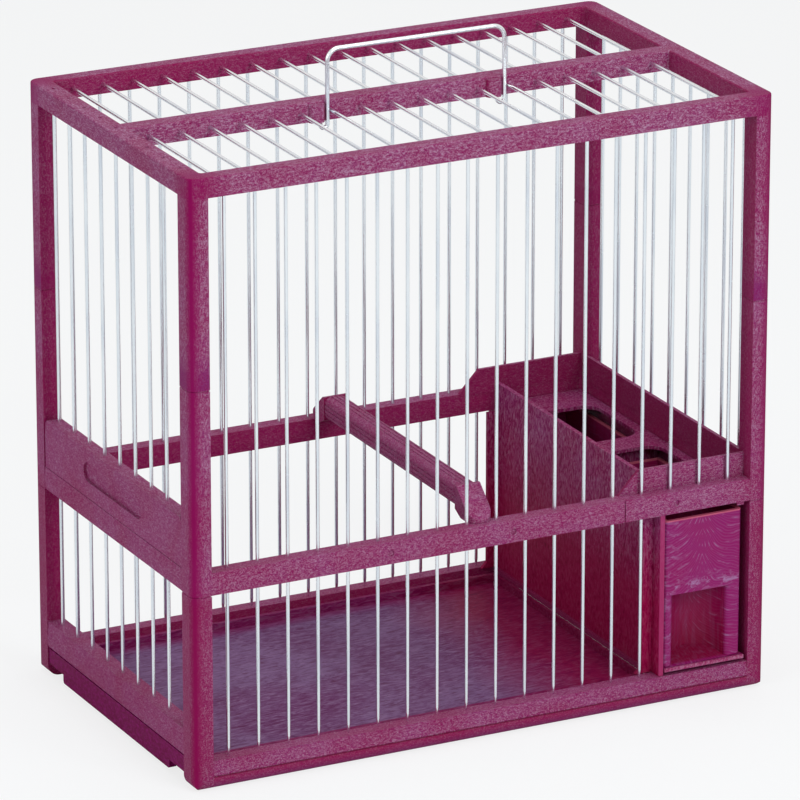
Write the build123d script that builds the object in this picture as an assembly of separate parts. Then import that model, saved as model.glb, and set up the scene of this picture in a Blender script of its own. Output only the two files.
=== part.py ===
"""Show cage for a small song bird: three moulded frames stacked on each other, round wires, a lift door,
a cleaning tray, a perch and two food drawers. Millimetres, +Z up, front towards -Y, door end towards -X.
The origin is the middle of the footprint, on the surface that the cage stands on."""
import os
from math import hypot

from build123d import *

os.makedirs("parts", exist_ok=True)

# Whole cage
cage_width = 250.0
cage_depth = 148.0
cage_height = 246.0

# How far a cutting or joining body runs past a face
cut_margin = 1.0

# Corner posts and rails
post_width = 8.0
post_depth = 10.0
post_outer_radius = 4.0
post_inner_radius = 0.8
long_rail_thickness = 7.0
end_rail_thickness = 8.0
rail_draft = 3.5
edge_round = 0.8

# Levels of the three frames
bottom_rail_height = 12.2
bottom_ridge_level = 5.9
bottom_corner_radius = 5.0
middle_frame_level = 80.0
middle_rail_height = 9.0
middle_ridge_height = 3.6
roof_frame_level = 162.5
roof_rail_height = 8.0
seam_chamfer = 0.5
spigot_radius = 1.9
spigot_length = 6.0
spigot_clearance = 0.1

# Tray slot in the door end of the bottom frame
tray_slot_height = 13.0
slot_rail_height = 10.5
slot_ridge_height = 3.5

# Wires
wire_radius = 0.7
wire_tip_radius = 0.35
wire_tip_length = 3.2
wire_fit = 0.05
wire_inset = 4.0
wire_seat = 3.5
long_wire_count = 18
long_wire_margin = 16.2
end_wire_count = 9
end_wire_margin = 16.4
roof_wire_seat = 1.6

# Crossbar and carrying handle
crossbar_thickness = 8.0
handle_radius = 0.85
wire_count_before_handle = 6
handle_pitches = 6
handle_rise = 20.6
handle_corner_radius = 5.0
handle_hook_length = 3.0
handle_hook_rise = 1.8
handle_hook_radius = 1.4
handle_free_lift = 0.8
handle_face_gap = 0.1
handle_side_gap = 0.2
handle_boss_width = 6.6
handle_boss_reach = 2.6
handle_boss_radius = 2.4

# Lift door
door_bar_height = 20.0
door_bar_thickness = 6.0
door_face_inset = 0.4
door_end_gap = 0.4
door_rest_gap = 0.2
door_corner_radius = 3.0
door_wire_seat = 12.0
door_wire_tip_drop = 0.8
door_hole_clearance = 0.1
thumb_recess_length = 54.0
thumb_recess_height = 8.0
thumb_recess_depth = 1.2
thumb_recess_lift = 6.6

# Cleaning tray
tray_end_gap = 0.4
tray_floor_thickness = 1.5
tray_rim_height = 4.8
tray_wall = 1.5
tray_front_thickness = 3.0
tray_front_inset = 0.4
tray_top_gap = 0.7
tray_side_gap = 0.7
tray_rest_gap = 0.2
tray_grip_length = 100.0
tray_grip_depth = 3.6
tray_grip_round = 1.2
runner_level = 3.5
runner_thickness = 2.0
runner_reach = 4.0
runner_rib_height = 5.5

# Feeder bay
bay_width = 37.5
divider_thickness = 2.0
divider_rise = 3.0
divider_end_inset = 1.0
divider_flange_width = 4.4
divider_flange_thickness = 1.6
divider_flange_gusset = 2.6
bay_floor_thickness = 2.0
bay_floor_lip = 1.0
bay_end_wall_thickness = 2.0
partition_thickness = 1.6
piece_gap = 0.2
deck_thickness = 1.4
deck_rise = 1.6
deck_hole_side_margin = 4.55
deck_hole_end_margin = 18.8
deck_hole_radius = 7.0
deck_bridge_width = 13.0
deck_ledge_thickness = 1.3
deck_ledge_reach = 1.5
guard_height = 9.5
guard_thickness = 1.5
guard_overhang = 18.6
guard_bevel = 9.0
guard_corner_radius = 2.0

# Food drawers
drawer_right_gap = 1.5
drawer_tail_gap = 4.7
drawer_top_gap = 3.2
drawer_wall = 1.6
drawer_base_thickness = 1.3
drawer_sill_thickness = 1.5
drawer_base_margin = 1.4
drawer_base_inset = 2.0
drawer_sill_reach = 0.8
drawer_side_gap = 0.4
drawer_face_inset = 1.2
drawer_rest_gap = 0.2
drawer_corner_radius = 1.6
drawer_foot_radius = 1.5
drawer_foot_joint = 0.3
finger_recess_radius = 11.8
finger_recess_height = 30.3
finger_recess_offset = 1.2
finger_recess_round = 2.4
recess_floor_rise = 3.5
drawer_stop_width = 3.0
drawer_stop_drop = 1.6
drawer_stop_thickness = 2.0
drawer_stop_inset = 2.0

# Perch
perch_size = 9.6
perch_corner_radius = 3.0
perch_lift = 2.4
perch_flute_radius = 0.38
perch_flute_pitch = 1.9
perch_shoe_width = 10.4
perch_shoe_length = 13.5
perch_shoe_toe = 1.2
perch_shoe_heel = 4.8
perch_shoe_radius = 4.5
perch_end_inset = 3.0
perch_rest_gap = 0.1

# Mould marks on the front of the middle rail
gate_mark_radius = 1.3
gate_mark_depth = 0.6
gate_mark_places = (-41.0, 12.0, 84.0)
score_width = 0.5
score_depth = 0.6

# Faces and levels that follow from the sizes above
left = -cage_width / 2
right = cage_width / 2
front = -cage_depth / 2
back = cage_depth / 2
middle_rail_top = middle_frame_level + middle_rail_height
roof_rail_level = cage_height - roof_rail_height
roof_wire_level = cage_height - roof_rail_height / 2
slot_rail_top = tray_slot_height + slot_rail_height
post_centre_x = cage_width / 2 - post_width / 2
post_centre_y = cage_depth / 2 - post_depth / 2
inner_left = left + end_rail_thickness
inner_right = right - end_rail_thickness
inner_front = front + long_rail_thickness
inner_back = back - long_rail_thickness
divider_x = inner_right - bay_width
divider_left = divider_x - divider_thickness
guard_top = middle_rail_top + guard_height
deck_level = middle_frame_level + deck_rise
long_wire_pitch = (cage_width - 2 * long_wire_margin) / (long_wire_count - 1)
end_wire_pitch = (cage_depth - 2 * end_wire_margin) / (end_wire_count - 1)
long_wire_places = [(i - (long_wire_count - 1) / 2) * long_wire_pitch for i in range(long_wire_count)]
end_wire_places = [(i - (end_wire_count - 1) / 2) * end_wire_pitch for i in range(end_wire_count)]
crossbar_front = -crossbar_thickness / 2
handle_y = crossbar_front - handle_face_gap - handle_radius
handle_left_x = long_wire_places[wire_count_before_handle] - wire_radius - handle_side_gap - handle_radius
handle_right_x = handle_left_x + handle_pitches * long_wire_pitch
tray_floor_level = runner_level + runner_thickness + tray_rest_gap


def block(x0, x1, y0, y1, z0, z1):
    """A plain box between two corners."""
    centre = Pos((x0 + x1) / 2, (y0 + y1) / 2, (z0 + z1) / 2)
    return centre * Box(x1 - x0, y1 - y0, z1 - z0)


def upright(x, y, z0, z1, radius):
    """A round bar along Z."""
    return Pos(x, y, (z0 + z1) / 2) * Cylinder(radius, z1 - z0)


def along_y(x, z, y0, y1, radius):
    """A round bar along Y."""
    return Pos(x, (y0 + y1) / 2, z) * Rot(90, 0, 0) * Cylinder(radius, y1 - y0)


def save(node, shape):
    """Write one named piece, or a group of like solids, to its own file."""
    if isinstance(shape, list):
        shape = Compound(children=shape)
    export_step(shape, "parts/" + node + ".step")


def corner_post(side_x, side_y, z0, z1):
    """One corner post with a large round on its outer edge and small rounds on the others."""
    centre = Pos(side_x * post_centre_x, side_y * post_centre_y, (z0 + z1) / 2)
    post = centre * Box(post_width, post_depth, z1 - z0)
    edges = post.edges().filter_by(Axis.Z).sort_by(lambda edge: hypot(edge.center().X, edge.center().Y))
    outer = edges[-1]
    post = fillet(outer, post_outer_radius)
    inner = post.edges().filter_by(Axis.Z).sort_by(lambda edge: hypot(edge.center().X, edge.center().Y))[0]
    post = fillet(inner, post_inner_radius)
    return chamfer(post.faces().sort_by(Axis.Z)[-1].edges(), seam_chamfer)


def four_posts(z0, z1):
    """The four corner posts between two levels."""
    posts = [corner_post(side_x, side_y, z0, z1) for side_x in (-1, 1) for side_y in (-1, 1)]
    return posts[0] + posts[1:]


def post_places():
    """Centres of the four posts, where the frames plug into each other."""
    return [(side_x * post_centre_x, side_y * post_centre_y) for side_x in (-1, 1) for side_y in (-1, 1)]


def drafted_ring(z0, z1, ridge, gusset):
    """A four-sided rail whose faces lean away from the mould's parting ridge, with cut corners inside."""
    opening = Rectangle(cage_width - 2 * end_rail_thickness, cage_depth - 2 * long_rail_thickness)
    opening = Pos(0, 0, ridge) * chamfer(opening.vertices(), gusset)
    outline = Pos(0, 0, ridge) * RectangleRounded(cage_width, cage_depth, post_outer_radius)
    halves = []
    for level in (z1, z0):
        direction = (0, 0, 1) if level > ridge else (0, 0, -1)
        height = abs(level - ridge)
        half = extrude(outline, amount=height, dir=direction, taper=rail_draft)
        halves.append(half - extrude(opening, amount=height, dir=direction, taper=-rail_draft))
    return halves[0] + halves[1]


def long_wire_holes(z0, z1, places):
    """Holes for the front and back wires between two levels."""
    radius = wire_radius + wire_fit
    both_sides = long_side(-1, places) + long_side(1, places)
    return [upright(x, y, z0, z1, radius) for x, y in both_sides]


def end_wire_holes(side, z0, z1, clearance):
    """Holes for the wires of one end between two levels."""
    return [upright(x, y, z0, z1, wire_radius + clearance) for x, y in end_side(side)]


def spigots(level):
    """Pegs on top of the posts that locate the frame above."""
    return [upright(x, y, level - cut_margin, level + spigot_length, spigot_radius) for x, y in post_places()]


def spigot_sockets(level):
    """Sockets in the undersides of the posts."""
    depth = spigot_length + 2 * spigot_clearance
    return [upright(x, y, level, level + depth, spigot_radius + spigot_clearance) for x, y in post_places()]


def bottom_frame():
    """Base rails, posts up to the middle frame, tray slot and runners, and the floor of the feeder bay."""
    ring = drafted_ring(0, bottom_rail_height, bottom_ridge_level, post_depth - long_rail_thickness)
    gap_y = cage_depth / 2 - post_depth
    x0 = left - cut_margin
    x1 = inner_left + cut_margin
    ring -= block(x0, x1, -gap_y, gap_y, -cut_margin, bottom_rail_height + cut_margin)
    slot_ridge_level = tray_slot_height + slot_ridge_height
    slot_rail = drafted_ring(tray_slot_height, slot_rail_top, slot_ridge_level, post_inner_radius)
    reach = gap_y + cut_margin
    slot_rail &= block(x0, x1, -reach, reach, tray_slot_height - cut_margin, slot_rail_top + cut_margin)
    frame = four_posts(0, middle_frame_level) + [ring, slot_rail]
    frame &= rounded_feet()
    frame += bay_floor()
    frame += bay_end_wall()
    frame += tray_runners()
    frame += spigots(middle_frame_level)
    tip_hole = wire_tip_radius + wire_fit
    tip_z = bottom_rail_height - wire_seat
    tip_top = bottom_rail_height + cut_margin
    frame -= [upright(x, y, tip_z, tip_top, tip_hole) for x, y in base_wire_places()]
    frame -= end_wire_holes(-1, slot_rail_top - wire_seat, slot_rail_top + cut_margin, wire_fit)
    return frame


def base_wire_places():
    """Places of every wire that stands in the base rail by its tapered tip."""
    return long_side(-1, cabin_wire_places()) + long_side(1, cabin_wire_places())


def rounded_feet():
    """The space that the base lies in, so that its lower corners are round from the front and the side."""
    height = cage_height
    front_view = Rectangle(cage_width, height, align=(Align.CENTER, Align.MIN))
    front_view = fillet(front_view.vertices().group_by(Axis.Y)[0], bottom_corner_radius)
    side_view = Rectangle(cage_depth, height, align=(Align.CENTER, Align.MIN))
    side_view = fillet(side_view.vertices().group_by(Axis.Y)[0], bottom_corner_radius)
    from_front = extrude(Plane.XZ * front_view, amount=cage_depth, both=True)
    from_side = extrude(Plane.YZ * side_view, amount=cage_width, both=True)
    return from_front & from_side


def bay_floor():
    """Plate under the two drawers."""
    return block(
        divider_left - bay_floor_lip,
        inner_right + cut_margin,
        inner_front - cut_margin,
        inner_back + cut_margin,
        bottom_rail_height - bay_floor_thickness,
        bottom_rail_height,
    )


def bay_end_wall():
    """Closed end of the feeder bay, which keeps the light out behind the drawers."""
    half = cage_depth / 2 - post_depth + cut_margin
    z0 = bottom_rail_height - cut_margin
    z1 = middle_frame_level - piece_gap / 2
    return block(inner_right, inner_right + bay_end_wall_thickness, -half, half, z0, z1)


def tray_runners():
    """Ledges with side ribs that carry and guide the tray between the long rails."""
    runners = []
    rib_face = cage_depth / 2 - post_depth
    rail_face = cage_depth / 2 - long_rail_thickness
    for side in (-1, 1):
        ledge_y = sorted((side * (rail_face + cut_margin), side * (rib_face - runner_reach)))
        rib_y = sorted((side * (rail_face + cut_margin), side * rib_face))
        top = runner_level + runner_thickness
        x0 = left + post_width - cut_margin
        runners.append(block(x0, divider_left, *ledge_y, runner_level, top))
        runners.append(block(x0, divider_left, *rib_y, runner_level, runner_level + runner_rib_height))
    return runners


def cabin_wire_places():
    """Places of the long wires that run down to the base: those left of the feeder bay."""
    return [x for x in long_wire_places if x < divider_left]


def bay_wire_places():
    """Places of the short wires that stop at the middle rail above the drawers."""
    return [x for x in long_wire_places if x > divider_left]


def guard_wall():
    """Raised inner edge of the middle rail round the feeder bay, with bevelled ends at the cabin side."""
    low_x = divider_x - guard_overhang
    base = middle_rail_top - cut_margin
    cut_x = low_x - cut_margin
    cut_top = guard_top + cut_margin
    half = cage_depth / 2 - long_rail_thickness + guard_thickness
    outer = block(low_x, inner_right + guard_thickness, -half, half, base, guard_top)
    outer = fillet(outer.edges().filter_by(Axis.Z).group_by(Axis.X)[-1], guard_corner_radius)
    opening = block(cut_x, inner_right, inner_front, inner_back, base - cut_margin, cut_top)
    wall = outer - opening
    bevel = Polyline(
        (cut_x, base),
        (low_x, middle_rail_top),
        (low_x + guard_bevel, guard_top),
        (low_x + guard_bevel, cut_top),
        (cut_x, cut_top),
        close=True,
    )
    cut = extrude(Plane.XZ * make_face(bevel), amount=cage_depth, both=True)
    return wall - cut


def middle_frame():
    """Middle rails, half posts up to the roof frame, and the guard wall and deck ledge at the feeder bay."""
    ridge_level = middle_frame_level + middle_ridge_height
    frame = drafted_ring(middle_frame_level, middle_rail_top, ridge_level, post_inner_radius)
    frame += four_posts(middle_frame_level, roof_frame_level)
    frame += guard_wall()
    frame += deck_ledge()
    frame += drawer_stops()
    frame -= spigot_sockets(middle_frame_level)
    frame += spigots(roof_frame_level)
    below = middle_frame_level - cut_margin
    frame -= long_wire_holes(below, guard_top, cabin_wire_places())
    frame -= long_wire_holes(middle_rail_top - wire_seat, guard_top, bay_wire_places())
    frame -= end_wire_holes(1, middle_rail_top - wire_seat, guard_top, wire_fit)
    frame -= end_wire_holes(-1, below, middle_frame_level + wire_seat, wire_fit)
    mark_level = middle_frame_level + middle_rail_height / 2
    cut_y = front - cut_margin
    mark_y = front + gate_mark_depth
    frame -= [along_y(x, mark_level, cut_y, mark_y, gate_mark_radius) for x in gate_mark_places]
    score_x = divider_x - guard_overhang
    return frame - block(score_x, score_x + score_width, cut_y, front + score_depth, below, middle_rail_top)


def deck_ledge():
    """Lip under the right rail that carries the far edge of the feeder deck."""
    top = deck_level - piece_gap / 2
    half = cage_depth / 2 - post_depth - piece_gap
    x0 = inner_right - deck_ledge_reach
    return block(x0, inner_right + cut_margin, -half, half, top - deck_ledge_thickness, top)


def drawer_stops():
    """Small tab under each long rail, above the outer corner of a drawer."""
    x1 = inner_right - drawer_stop_inset
    z0 = middle_frame_level - drawer_stop_drop
    stops = []
    outer = cage_depth / 2 - drawer_face_inset
    for side in (-1, 1):
        y0, y1 = sorted((side * outer, side * (outer - drawer_stop_thickness)))
        stops.append(block(x1 - drawer_stop_width, x1, y0, y1, z0, middle_frame_level + cut_margin))
    return stops


def roof_frame():
    """Roof rails, crossbar with the two handle bosses, and half posts down to the middle frame."""
    outline = RectangleRounded(cage_width, cage_depth, post_outer_radius)
    opening_width = cage_width - 2 * end_rail_thickness
    opening_depth = cage_depth - 2 * long_rail_thickness
    outline -= RectangleRounded(opening_width, opening_depth, post_inner_radius)
    ring = extrude(Pos(0, 0, roof_rail_level) * outline, roof_rail_height)
    ring = fillet(ring.faces().sort_by(Axis.Z)[-1].edges(), edge_round)
    frame = ring + four_posts(roof_frame_level, roof_rail_level + cut_margin)
    frame += crossbar()
    frame -= spigot_sockets(roof_frame_level)
    below = roof_rail_level - cut_margin
    frame -= long_wire_holes(below, roof_rail_level + wire_seat, long_wire_places)
    frame -= end_wire_holes(1, below, roof_rail_level + wire_seat, wire_fit)
    frame -= end_wire_holes(-1, below, cage_height + cut_margin, door_hole_clearance)
    reach = cage_depth / 2 - long_rail_thickness + roof_wire_seat
    frame -= [along_y(x, roof_wire_level, -reach, reach, wire_radius + wire_fit) for x in long_wire_places]
    return frame


def crossbar():
    """Bar across the middle of the roof, with a round boss beside each leg of the handle."""
    half = crossbar_thickness / 2
    reach = cage_width / 2 - end_rail_thickness + cut_margin
    bar = block(-reach, reach, -half, half, roof_rail_level, cage_height)
    bar = fillet(bar.edges().filter_by(Axis.X).group_by(Axis.Z)[-1], edge_round)
    for leg_x in (handle_left_x, handle_right_x):
        bar += handle_boss(leg_x - handle_radius - handle_side_gap - handle_boss_width)
    return bar


def handle_boss(x0):
    """Rounded boss on the crossbar's face, under which one hook of the handle bears."""
    y0 = crossbar_front - handle_boss_reach
    y1 = crossbar_front + cut_margin
    boss = block(x0, x0 + handle_boss_width, y0, y1, roof_rail_level, cage_height - edge_round)
    return fillet(boss.edges().filter_by(Axis.Z).group_by(Axis.Y)[0], handle_boss_radius)


def wires(places_xy, z0, z1):
    """A row of upright wires."""
    return [upright(x, y, z0, z1, wire_radius) for x, y in places_xy]


def tipped_wires(places_xy, rail_top, z1):
    """A row of upright wires whose lower ends taper to a thin tip set in a rail."""
    row = []
    tip_top = rail_top + wire_tip_length
    for x, y in places_xy:
        taper = Cone(wire_tip_radius, wire_radius, wire_tip_length)
        wire = upright(x, y, tip_top, z1, wire_radius)
        wire += Pos(x, y, rail_top + wire_tip_length / 2) * taper
        wire += upright(x, y, rail_top - wire_seat + wire_fit, rail_top, wire_tip_radius)
        row.append(wire)
    return row


def long_side(side, places):
    """Wire positions along the front or the back."""
    return [(x, side * (cage_depth / 2 - wire_inset)) for x in places]


def end_side(side):
    """Wire positions along one end."""
    return [(side * (cage_width / 2 - wire_inset), y) for y in end_wire_places]


def roof_wires():
    """Wires from the back rail through the crossbar to the front rail."""
    reach = cage_depth / 2 - long_rail_thickness + roof_wire_seat - wire_fit
    return [along_y(x, roof_wire_level, -reach, reach, wire_radius) for x in long_wire_places]


def door_bar():
    """Solid bar at the foot of the lift door, with a thumb recess in its outer face."""
    x0 = left + door_face_inset
    x1 = x0 + door_bar_thickness
    half = cage_depth / 2 - post_depth - door_end_gap
    z0 = middle_rail_top + door_rest_gap
    z1 = z0 + door_bar_height
    bar = block(x0, x1, -half, half, z0, z1)
    bar = fillet(bar.edges().filter_by(Axis.X).group_by(Axis.Z)[-1], door_corner_radius)
    recess = SlotOverall(thumb_recess_length, thumb_recess_height)
    recess_z = z0 + thumb_recess_lift + thumb_recess_height / 2
    recess_plane = Plane(origin=(x0, 0, recess_z), x_dir=(0, 1, 0), z_dir=(1, 0, 0))
    bar -= extrude(recess_plane * recess, amount=thumb_recess_depth)
    bar -= end_wire_holes(-1, z1 - door_wire_seat, z1 + cut_margin, wire_fit)
    return bar


def door_wires():
    """Nine long wires that rise from the door bar and slide through the roof rail."""
    z0 = middle_rail_top + door_rest_gap + door_bar_height - door_wire_seat
    z1 = cage_height - door_wire_tip_drop
    return wires(end_side(-1), z0, z1)


def handle():
    """Wire bail: a level grip, two legs down the crossbar's face and a hook under each boss."""
    grip_z = cage_height + handle_rise
    tip_z = roof_rail_level - handle_free_lift
    hook_z = tip_z - handle_hook_rise
    hook_bends = [handle_hook_radius, handle_hook_radius]
    route = FilletPolyline(
        (handle_left_x - handle_hook_length, handle_y, tip_z),
        (handle_left_x - handle_hook_length, handle_y, hook_z),
        (handle_left_x, handle_y, hook_z),
        (handle_left_x, handle_y, grip_z),
        (handle_right_x, handle_y, grip_z),
        (handle_right_x, handle_y, hook_z),
        (handle_right_x - handle_hook_length, handle_y, hook_z),
        (handle_right_x - handle_hook_length, handle_y, tip_z),
        radius=hook_bends + [handle_corner_radius, handle_corner_radius] + hook_bends,
    )
    start = Plane(origin=route @ 0, z_dir=route % 0)
    return sweep(start * Circle(handle_radius), path=route)


def cleaning_tray():
    """Shallow floor tray with a front board and a lower grip, drawn out at the door end."""
    x0 = left + tray_front_inset
    floor_x = x0 + tray_front_thickness
    far_x = divider_left - bay_floor_lip - tray_end_gap
    half = cage_depth / 2 - post_depth - tray_side_gap
    top = tray_slot_height - tray_top_gap
    rim_top = tray_floor_level + tray_rim_height
    board = block(x0, floor_x, -half, half, tray_floor_level, top)
    board = fillet(board.edges().filter_by(Axis.X).group_by(Axis.Z)[-1], post_inner_radius)
    reach = tray_grip_length / 2
    grip_z = tray_floor_level - tray_grip_depth
    grip = block(x0, floor_x, -reach, reach, grip_z, tray_floor_level + cut_margin)
    grip = fillet(grip.edges().filter_by(Axis.X).group_by(Axis.Z)[0], tray_grip_round)
    pan = block(floor_x - cut_margin, far_x, -half, half, tray_floor_level, rim_top)
    pan -= block(
        floor_x - 2 * cut_margin,
        far_x - tray_wall,
        -half + tray_wall,
        half - tray_wall,
        tray_floor_level + tray_floor_thickness,
        rim_top + cut_margin,
    )
    return board + grip + pan


def feeder_divider():
    """Upright panel between the cabin and the feeder bay, with a flange at each end."""
    z0 = bottom_rail_height + piece_gap / 2
    panel_top = middle_rail_top + divider_rise
    inner = block(divider_left, divider_x, inner_front + piece_gap, inner_back - piece_gap, z0, panel_top)
    reach = cage_depth / 2 - divider_end_inset
    jambs = block(divider_left, divider_x, -reach, reach, z0, middle_frame_level - piece_gap / 2)
    panel = inner + jambs
    for side in (-1, 1):
        panel += divider_flange(side, z0)
    top = deck_level - piece_gap / 2
    ledge_x = divider_x + deck_ledge_reach
    ledge_y = inner_back - cut_margin
    z1 = top - deck_ledge_thickness
    return panel + block(divider_x - cut_margin, ledge_x, -ledge_y, ledge_y, z1, top)


def divider_flange(side, z0):
    """Flange against the inside of the rails at one end of the divider, with a sloped foot."""
    face = side * (cage_depth / 2 - long_rail_thickness - piece_gap)
    y0, y1 = sorted((face, face - side * divider_flange_thickness))
    low_x = divider_left - divider_flange_width
    flange = block(low_x, divider_left + cut_margin, y0, y1, z0, middle_frame_level - piece_gap)
    foot_x = low_x - divider_flange_gusset
    inside_x = low_x + cut_margin
    foot = Polyline((foot_x, z0), (inside_x, z0), (inside_x, z0 + inside_x - foot_x), close=True)
    foot_plane = Plane(origin=(0, y1, 0), x_dir=(1, 0, 0), z_dir=(0, -1, 0))
    return flange + extrude(foot_plane * make_face(foot), amount=y1 - y0)


def drawer_partition():
    """Upright plate between the front and the back drawer."""
    half = partition_thickness / 2
    z0 = bottom_rail_height + piece_gap / 2
    z1 = deck_level - piece_gap / 2
    plate = block(divider_x + piece_gap, inner_right - piece_gap, -half, half, z0, z1)
    notch = deck_ledge_thickness + piece_gap
    for x0, x1 in (
        (divider_x, divider_x + deck_ledge_reach + piece_gap),
        (inner_right - deck_ledge_reach - piece_gap, inner_right),
    ):
        plate -= block(x0, x1, -half - cut_margin, half + cut_margin, z1 - notch, z1 + cut_margin)
    return plate


def feeder_deck():
    """Plate over the drawers with a feeding hole above each."""
    x0 = divider_x + piece_gap
    x1 = inner_right - piece_gap
    half = cage_depth / 2 - long_rail_thickness - piece_gap
    deck = block(x0, x1, -half, half, deck_level, deck_level + deck_thickness)
    deck = fillet(deck.edges().filter_by(Axis.Z), post_inner_radius + piece_gap)
    hole_width = x1 - x0 - 2 * deck_hole_side_margin
    hole_length = half - deck_hole_end_margin - deck_bridge_width / 2
    hole = RectangleRounded(hole_width, hole_length, deck_hole_radius)
    for side in (-1, 1):
        place = Pos((x0 + x1) / 2, side * (deck_bridge_width + hole_length) / 2, deck_level)
        deck -= extrude(place * hole, amount=deck_thickness)
    return deck


def drawer(side):
    """Open-topped food drawer with a round finger recess in its face. Side -1 faces the front."""
    x0 = divider_x + drawer_side_gap
    x1 = inner_right - drawer_right_gap - drawer_base_margin
    face = cage_depth / 2 - drawer_face_inset
    tail = partition_thickness / 2 + drawer_tail_gap
    base_z = bottom_rail_height + drawer_rest_gap
    sill_z = base_z + drawer_base_thickness
    body_z = sill_z + drawer_sill_thickness
    top_z = middle_frame_level - drawer_top_gap
    body = block(x0, x1, tail, face, body_z - drawer_foot_joint, top_z)
    body = fillet(body.edges().filter_by(Axis.Z), drawer_corner_radius)
    body = fillet(body.faces().sort_by(Axis.Z)[0].edges(), drawer_foot_radius)
    body -= drawer_inside(x0, x1, tail, face, body_z, top_z)
    body -= finger_recess((x0 + x1) / 2 - finger_recess_offset, face, body_z)
    base = block(x0, x1, tail, face - drawer_base_inset, base_z, body_z)
    sill = block(x0, x1 + drawer_base_margin, tail, face + drawer_sill_reach, sill_z, body_z)
    shape = body + base + sill
    return shape if side > 0 else mirror(shape, Plane.XZ)


def drawer_inside(x0, x1, tail, face, body_z, top_z):
    """The space for food: the drawer less its walls and less the shell round the finger recess."""
    wall = drawer_wall
    inside = block(x0 + wall, x1 - wall, tail + wall, face - wall, body_z + wall, top_z + cut_margin)
    centre_x = (x0 + x1) / 2 - finger_recess_offset
    shell_top = body_z + finger_recess_height + wall
    return inside - upright(centre_x, face, body_z, shell_top, finger_recess_radius + wall)


def finger_recess(centre_x, face, body_z):
    """Half-round hollow in the drawer's face, with its two upright edges rounded."""
    radius = finger_recess_radius
    hollow = Pos(centre_x, face) * Circle(radius)
    mouth = Pos(centre_x, face) * Rectangle(2 * (radius + finger_recess_round), 2 * finger_recess_round)
    for way in (-1, 1):
        lip = Pos(centre_x + way * (radius + finger_recess_round), face - finger_recess_round)
        mouth -= lip * Circle(finger_recess_round)
    outline = hollow + mouth
    recess = extrude(Pos(0, 0, body_z) * outline, amount=finger_recess_height)
    return recess - recess_floor(centre_x, face, body_z)


def recess_floor(centre_x, face, body_z):
    """Floor of the finger recess, which rises towards the back."""
    back_y = face - finger_recess_radius - cut_margin
    rise = recess_floor_rise * (face - back_y) / finger_recess_radius
    slope = Polyline((face, body_z), (back_y, body_z), (back_y, body_z + rise), close=True)
    half = finger_recess_radius + finger_recess_round
    return Pos(centre_x) * extrude(Plane.YZ * make_face(slope), amount=half, both=True)


def perch_section():
    """Rounded square section with fine flutes along its top and sides."""
    section = RectangleRounded(perch_size, perch_size, perch_corner_radius)
    half = perch_size / 2
    for step in (-1, 0, 1):
        offset = step * perch_flute_pitch
        for place in (Pos(offset, half), Pos(half, offset), Pos(-half, offset)):
            section -= place * Circle(perch_flute_radius)
    return section


def perch():
    """Perch bar from the front to the back middle rail, with a sloped shoe on each rail."""
    bottom_z = middle_rail_top + perch_rest_gap
    centre_z = bottom_z + perch_lift + perch_size / 2
    end_y = cage_depth / 2 - perch_end_inset
    bar_y = end_y - perch_shoe_length + cut_margin
    bar_plane = Plane(origin=(0, bar_y, centre_z), x_dir=(1, 0, 0), z_dir=(0, -1, 0))
    bar = extrude(bar_plane * perch_section(), amount=2 * bar_y)
    for side in (-1, 1):
        bar += perch_shoe(side, bottom_z, end_y)
    return bar


def perch_shoe(side, bottom_z, end_y):
    """Shoe that slopes out and down from the bar's end to a round toe on the rail."""
    top_z = bottom_z + perch_lift + perch_size
    heel_y = end_y - perch_shoe_length
    outline = Polyline(
        (heel_y, top_z),
        (heel_y + perch_shoe_toe, top_z),
        (end_y, bottom_z + perch_shoe_toe),
        (end_y, bottom_z),
        (heel_y + perch_shoe_heel, bottom_z),
        (heel_y, bottom_z + perch_lift),
        close=True,
    )
    wedge = extrude(Plane.YZ * make_face(outline), amount=perch_shoe_width / 2, both=True)
    plan = block(-perch_shoe_width / 2, perch_shoe_width / 2, heel_y, end_y, bottom_z, top_z)
    plan = fillet(plan.edges().filter_by(Axis.Z).group_by(Axis.Y)[-1], perch_shoe_radius)
    shoe = wedge & plan
    return shoe if side > 0 else Rot(0, 0, 180) * shoe


save("bottom_frame", bottom_frame())
save("middle_frame", middle_frame())
save("roof_frame", roof_frame())

roof_seat = roof_rail_level + wire_seat - wire_fit
shelf_seat = middle_rail_top - wire_seat + wire_fit
for side, name in ((-1, "front"), (1, "back")):
    save(name + "_wires", tipped_wires(long_side(side, cabin_wire_places()), bottom_rail_height, roof_seat))
    save(name + "_short_wires", wires(long_side(side, bay_wire_places()), shelf_seat, roof_seat))
    save(name + "_drawer", drawer(side))
save("right_end_wires", wires(end_side(1), shelf_seat, roof_seat))
lower_end_seat = slot_rail_top - wire_seat + wire_fit
save("left_end_wires", wires(end_side(-1), lower_end_seat, middle_frame_level + wire_seat - wire_fit))
save("roof_wires", roof_wires())
save("door_bar", door_bar())
save("door_wires", door_wires())
save("handle", handle())
save("cleaning_tray", cleaning_tray())
save("feeder_divider", feeder_divider())
save("drawer_partition", drawer_partition())
save("feeder_deck", feeder_deck())
save("perch", perch())
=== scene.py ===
"""Dresses the show cage: marbled plastic, bright wires, a studio stage and the camera."""

from math import atan, cos, radians, sin

import bpy
from bpy.props import FloatProperty, FloatVectorProperty, PointerProperty
from mathutils import Matrix, Vector


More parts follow.
